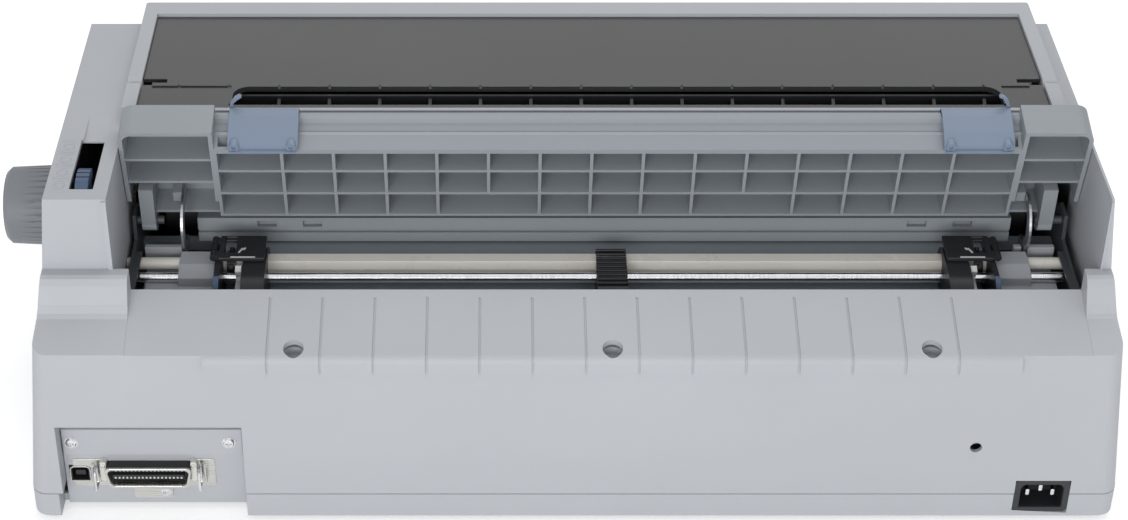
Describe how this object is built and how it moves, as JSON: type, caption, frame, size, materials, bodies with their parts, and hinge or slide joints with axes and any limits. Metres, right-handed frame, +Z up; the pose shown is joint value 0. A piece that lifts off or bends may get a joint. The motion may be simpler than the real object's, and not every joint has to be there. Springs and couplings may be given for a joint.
{
  "type": "dot matrix printer",
  "caption": "Wide impact printer with a raised ribbed rear cover, sliding edge guides, push tractors, hinged smoked top cover, platen knob and rear sockets.",
  "frame": {"origin": "middle of the whole printer, on the surface that it stands on", "axes": "+X towards the platen knob, +Y towards the rear with the sockets, +Z up"},
  "size_m": [0.636, 0.4046, 0.211],
  "materials": {
    "case_plastic": "fine moulded texture",
    "cover_plastic": "fine moulded texture",
    "smoked_plastic": "smoked, satin",
    "black_plastic": "matt black",
    "blue_plastic": "satin blue grey",
    "lever_blue": "satin blue",
    "knob_plastic": "ribbed grey",
    "foot_rubber": "matt",
    "platen_rubber": "ground",
    "steel_sheet": "zinc plated",
    "dark_sheet": "dark grey paint",
    "bright_steel": "polished",
    "square_steel": "nickel plated",
    "gear_plastic": "natural acetal",
    "white_plastic": "white acetal",
    "pale_sheet": "pale satin",
    "brass": "turned",
    "motor_black": "black",
    "belt_rubber": "matt",
    "connector_steel": "nickel plated",
    "inlet_plastic": "dark grey",
    "board_green": "solder mask",
    "panel_grey": "dark grey",
    "button_grey": "light grey"
  },
  "bodies": {
    "base": {"lower_case": "case_plastic", "upper_case": "case_plastic", "rubber_feet": "foot_rubber", "chassis_plate": "steel_sheet", "side_frame_right": "dark_sheet", "side_frame_left": "dark_sheet", "exit_cover": "smoked_plastic", "exit_rib_guide": "black_plastic", "guide_shaft": "bright_steel", "shaft_brackets": "case_plastic", "paper_guide_bar": "cover_plastic", "paper_chute": "pale_sheet", "feed_motor": "motor_black", "carriage_rod": "bright_steel", "carriage_belt": "belt_rubber", "carriage_motor": "motor_black", "ribbon_cartridge": "black_plastic", "interface_panel": "case_plastic", "slot_cover": "case_plastic", "parallel_socket": "connector_steel", "usb_socket": "connector_steel", "power_inlet": "inlet_plastic", "main_board": "board_green", "power_supply": "steel_sheet", "control_panel": "panel_grey", "fasteners": "bright_steel"},
    "printer_cover": {"printer_cover": "case_plastic", "smoked_window": "smoked_plastic"},
    "rear_cover": {"rear_cover": "cover_plastic", "cover_stay_arms": "steel_sheet"},
    "edge_guide_right": {"edge_guide_right": "blue_plastic"},
    "edge_guide_left": {"edge_guide_left": "blue_plastic"},
    "platen": {"platen": "platen_rubber", "platen_shaft": "bright_steel", "platen_gear": "gear_plastic", "platen_knob": "knob_plastic"},
    "tractor_shaft": {"tractor_shaft": "square_steel", "tractor_gear": "gear_plastic"},
    "idler_gear": {"idler_gear": "gear_plastic"},
    "feed_pinion": {"feed_pinion": "brass"},
    "tractor_right": {"tractor_frame_right": "black_plastic"},
    "tractor_left": {"tractor_frame_left": "black_plastic"},
    "tractor_door_right": {"tractor_door_right": "black_plastic"},
    "tractor_door_left": {"tractor_door_left": "black_plastic"},
    "tractor_lock_right": {"tractor_lock_right": "white_plastic"},
    "tractor_lock_left": {"tractor_lock_left": "white_plastic"},
    "pin_wheel_right": {"pin_wheel_right": "black_plastic"},
    "pin_wheel_left": {"pin_wheel_left": "black_plastic"},
    "paper_support": {"paper_support": "black_plastic"},
    "carriage": {"carriage": "black_plastic", "print_head": "motor_black"},
    "drive_pulley": {"drive_pulley": "steel_sheet"},
    "idler_pulley": {"idler_pulley": "steel_sheet"},
    "release_lever": {"release_lever": "lever_blue"},
    "wire_bail_right": {"wire_bail_right": "bright_steel"},
    "wire_bail_left": {"wire_bail_left": "bright_steel"},
    "button_left": {"button_left": "button_grey"},
    "button_middle": {"button_middle": "button_grey"},
    "button_right": {"button_right": "button_grey"},
    "power_switch": {"power_switch": "black_plastic"}
  },
  "joints": [
    {"name": "printer_cover_hinge", "type": "hinge", "parent": "base", "child": "printer_cover", "pos_m": [0, 0.04125, 0.184], "axis": [1, 0, 0], "range_deg": [-60, 0]},
    {"name": "rear_cover_hinge", "type": "hinge", "parent": "base", "child": "rear_cover", "pos_m": [0, 0.09125, 0.131], "axis": [1, 0, 0], "range_deg": [-55, 0]},
    {"name": "edge_guide_right_slide", "type": "slide", "parent": "rear_cover", "child": "edge_guide_right", "axis": [1, 0, 0], "range_m": [-0.15, 0]},
    {"name": "edge_guide_left_slide", "type": "slide", "parent": "rear_cover", "child": "edge_guide_left", "axis": [1, 0, 0], "range_m": [0, 0.15]},
    {"name": "platen_turn", "type": "hinge", "parent": "base", "child": "platen", "pos_m": [0, 0.03275, 0.102], "axis": [1, 0, 0], "continuous": true},
    {"name": "idler_gear_turn", "type": "hinge", "parent": "base", "child": "idler_gear", "pos_m": [0, 0.07422, 0.10883], "axis": [1, 0, 0], "continuous": true},
    {"name": "tractor_shaft_turn", "type": "hinge", "parent": "base", "child": "tractor_shaft", "pos_m": [0, 0.11175, 0.115], "axis": [1, 0, 0], "continuous": true},
    {"name": "feed_pinion_turn", "type": "hinge", "parent": "base", "child": "feed_pinion", "pos_m": [0, 0.07486, 0.07781], "axis": [1, 0, 0], "continuous": true},
    {"name": "tractor_right_slide", "type": "slide", "parent": "base", "child": "tractor_right", "axis": [1, 0, 0], "range_m": [-0.12, 0]},
    {"name": "tractor_left_slide", "type": "slide", "parent": "base", "child": "tractor_left", "axis": [1, 0, 0], "range_m": [0, 0.1]},
    {"name": "pin_wheel_right_turn", "type": "hinge", "parent": "tractor_right", "child": "pin_wheel_right", "pos_m": [0, 0.11175, 0.115], "axis": [1, 0, 0], "continuous": true},
    {"name": "pin_wheel_left_turn", "type": "hinge", "parent": "tractor_left", "child": "pin_wheel_left", "pos_m": [0, 0.11175, 0.115], "axis": [1, 0, 0], "continuous": true},
    {"name": "tractor_door_right_hinge", "type": "hinge", "parent": "tractor_right", "child": "tractor_door_right", "pos_m": [0.1865, 0.12, 0.12675], "axis": [0, 1, 0], "range_deg": [0, 110]},
    {"name": "tractor_door_left_hinge", "type": "hinge", "parent": "tractor_left", "child": "tractor_door_left", "pos_m": [-0.2515, 0.12, 0.12675], "axis": [0, -1, 0], "range_deg": [0, 110]},
    {"name": "tractor_lock_right_hinge", "type": "hinge", "parent": "tractor_right", "child": "tractor_lock_right", "pos_m": [0, 0.12425, 0.114], "axis": [1, 0, 0], "range_deg": [-15, 0]},
    {"name": "tractor_lock_left_hinge", "type": "hinge", "parent": "tractor_left", "child": "tractor_lock_left", "pos_m": [0, 0.12425, 0.114], "axis": [1, 0, 0], "range_deg": [-15, 0]},
    {"name": "paper_support_slide", "type": "slide", "parent": "base", "child": "paper_support", "axis": [1, 0, 0], "range_m": [-0.06, 0.06]},
    {"name": "carriage_slide", "type": "slide", "parent": "base", "child": "carriage", "axis": [1, 0, 0], "range_m": [-0.17, 0.17]},
    {"name": "drive_pulley_turn", "type": "hinge", "parent": "base", "child": "drive_pulley", "pos_m": [-0.255, -0.05025, 0.08], "axis": [0, 1, 0], "range_deg": [-1200, 1200]},
    {"name": "idler_pulley_turn", "type": "hinge", "parent": "base", "child": "idler_pulley", "pos_m": [0.195, -0.05025, 0.08], "axis": [0, 1, 0], "range_deg": [-1200, 1200]},
    {"name": "release_lever_hinge", "type": "hinge", "parent": "base", "child": "release_lever", "pos_m": [0, 0.12475, 0.088], "axis": [1, 0, 0], "range_deg": [0, 14]},
    {"name": "wire_bail_right_hinge", "type": "hinge", "parent": "base", "child": "wire_bail_right", "pos_m": [0.2515, 0.19055, 0.027], "axis": [0, 0, 1], "range_deg": [-60, 35]},
    {"name": "wire_bail_left_hinge", "type": "hinge", "parent": "base", "child": "wire_bail_left", "pos_m": [0.1935, 0.19055, 0.027], "axis": [0, 0, -1], "range_deg": [-60, 35]},
    {"name": "button_left_press", "type": "slide", "parent": "base", "child": "button_left", "axis": [0, 0.3048, -0.9524], "range_m": [0, 0.0015], "stiffness_N_per_m": 300},
    {"name": "button_middle_press", "type": "slide", "parent": "base", "child": "button_middle", "axis": [0, 0.3048, -0.9524], "range_m": [0, 0.0015], "stiffness_N_per_m": 300},
    {"name": "button_right_press", "type": "slide", "parent": "base", "child": "button_right", "axis": [0, 0.3048, -0.9524], "range_m": [0, 0.0015], "stiffness_N_per_m": 300},
    {"name": "power_switch_rock", "type": "hinge", "parent": "base", "child": "power_switch", "pos_m": [-0.258, -0.19325, 0.046], "axis": [1, 0, 0], "range_deg": [0, 12]}
  ],
  "couplings": [
    {"joint": "idler_gear_turn", "follows": "platen_turn", "ratio": -0.90909},
    {"joint": "tractor_shaft_turn", "follows": "platen_turn", "ratio": 1.25},
    {"joint": "feed_pinion_turn", "follows": "platen_turn", "ratio": 2.2222},
    {"joint": "pin_wheel_right_turn", "follows": "platen_turn", "ratio": 1.25},
    {"joint": "pin_wheel_left_turn", "follows": "platen_turn", "ratio": 1.25},
    {"joint": "drive_pulley_turn", "follows": "carriage_slide", "rad_per_m": 120.48},
    {"joint": "idler_pulley_turn", "follows": "carriage_slide", "rad_per_m": 120.48}
  ]
}
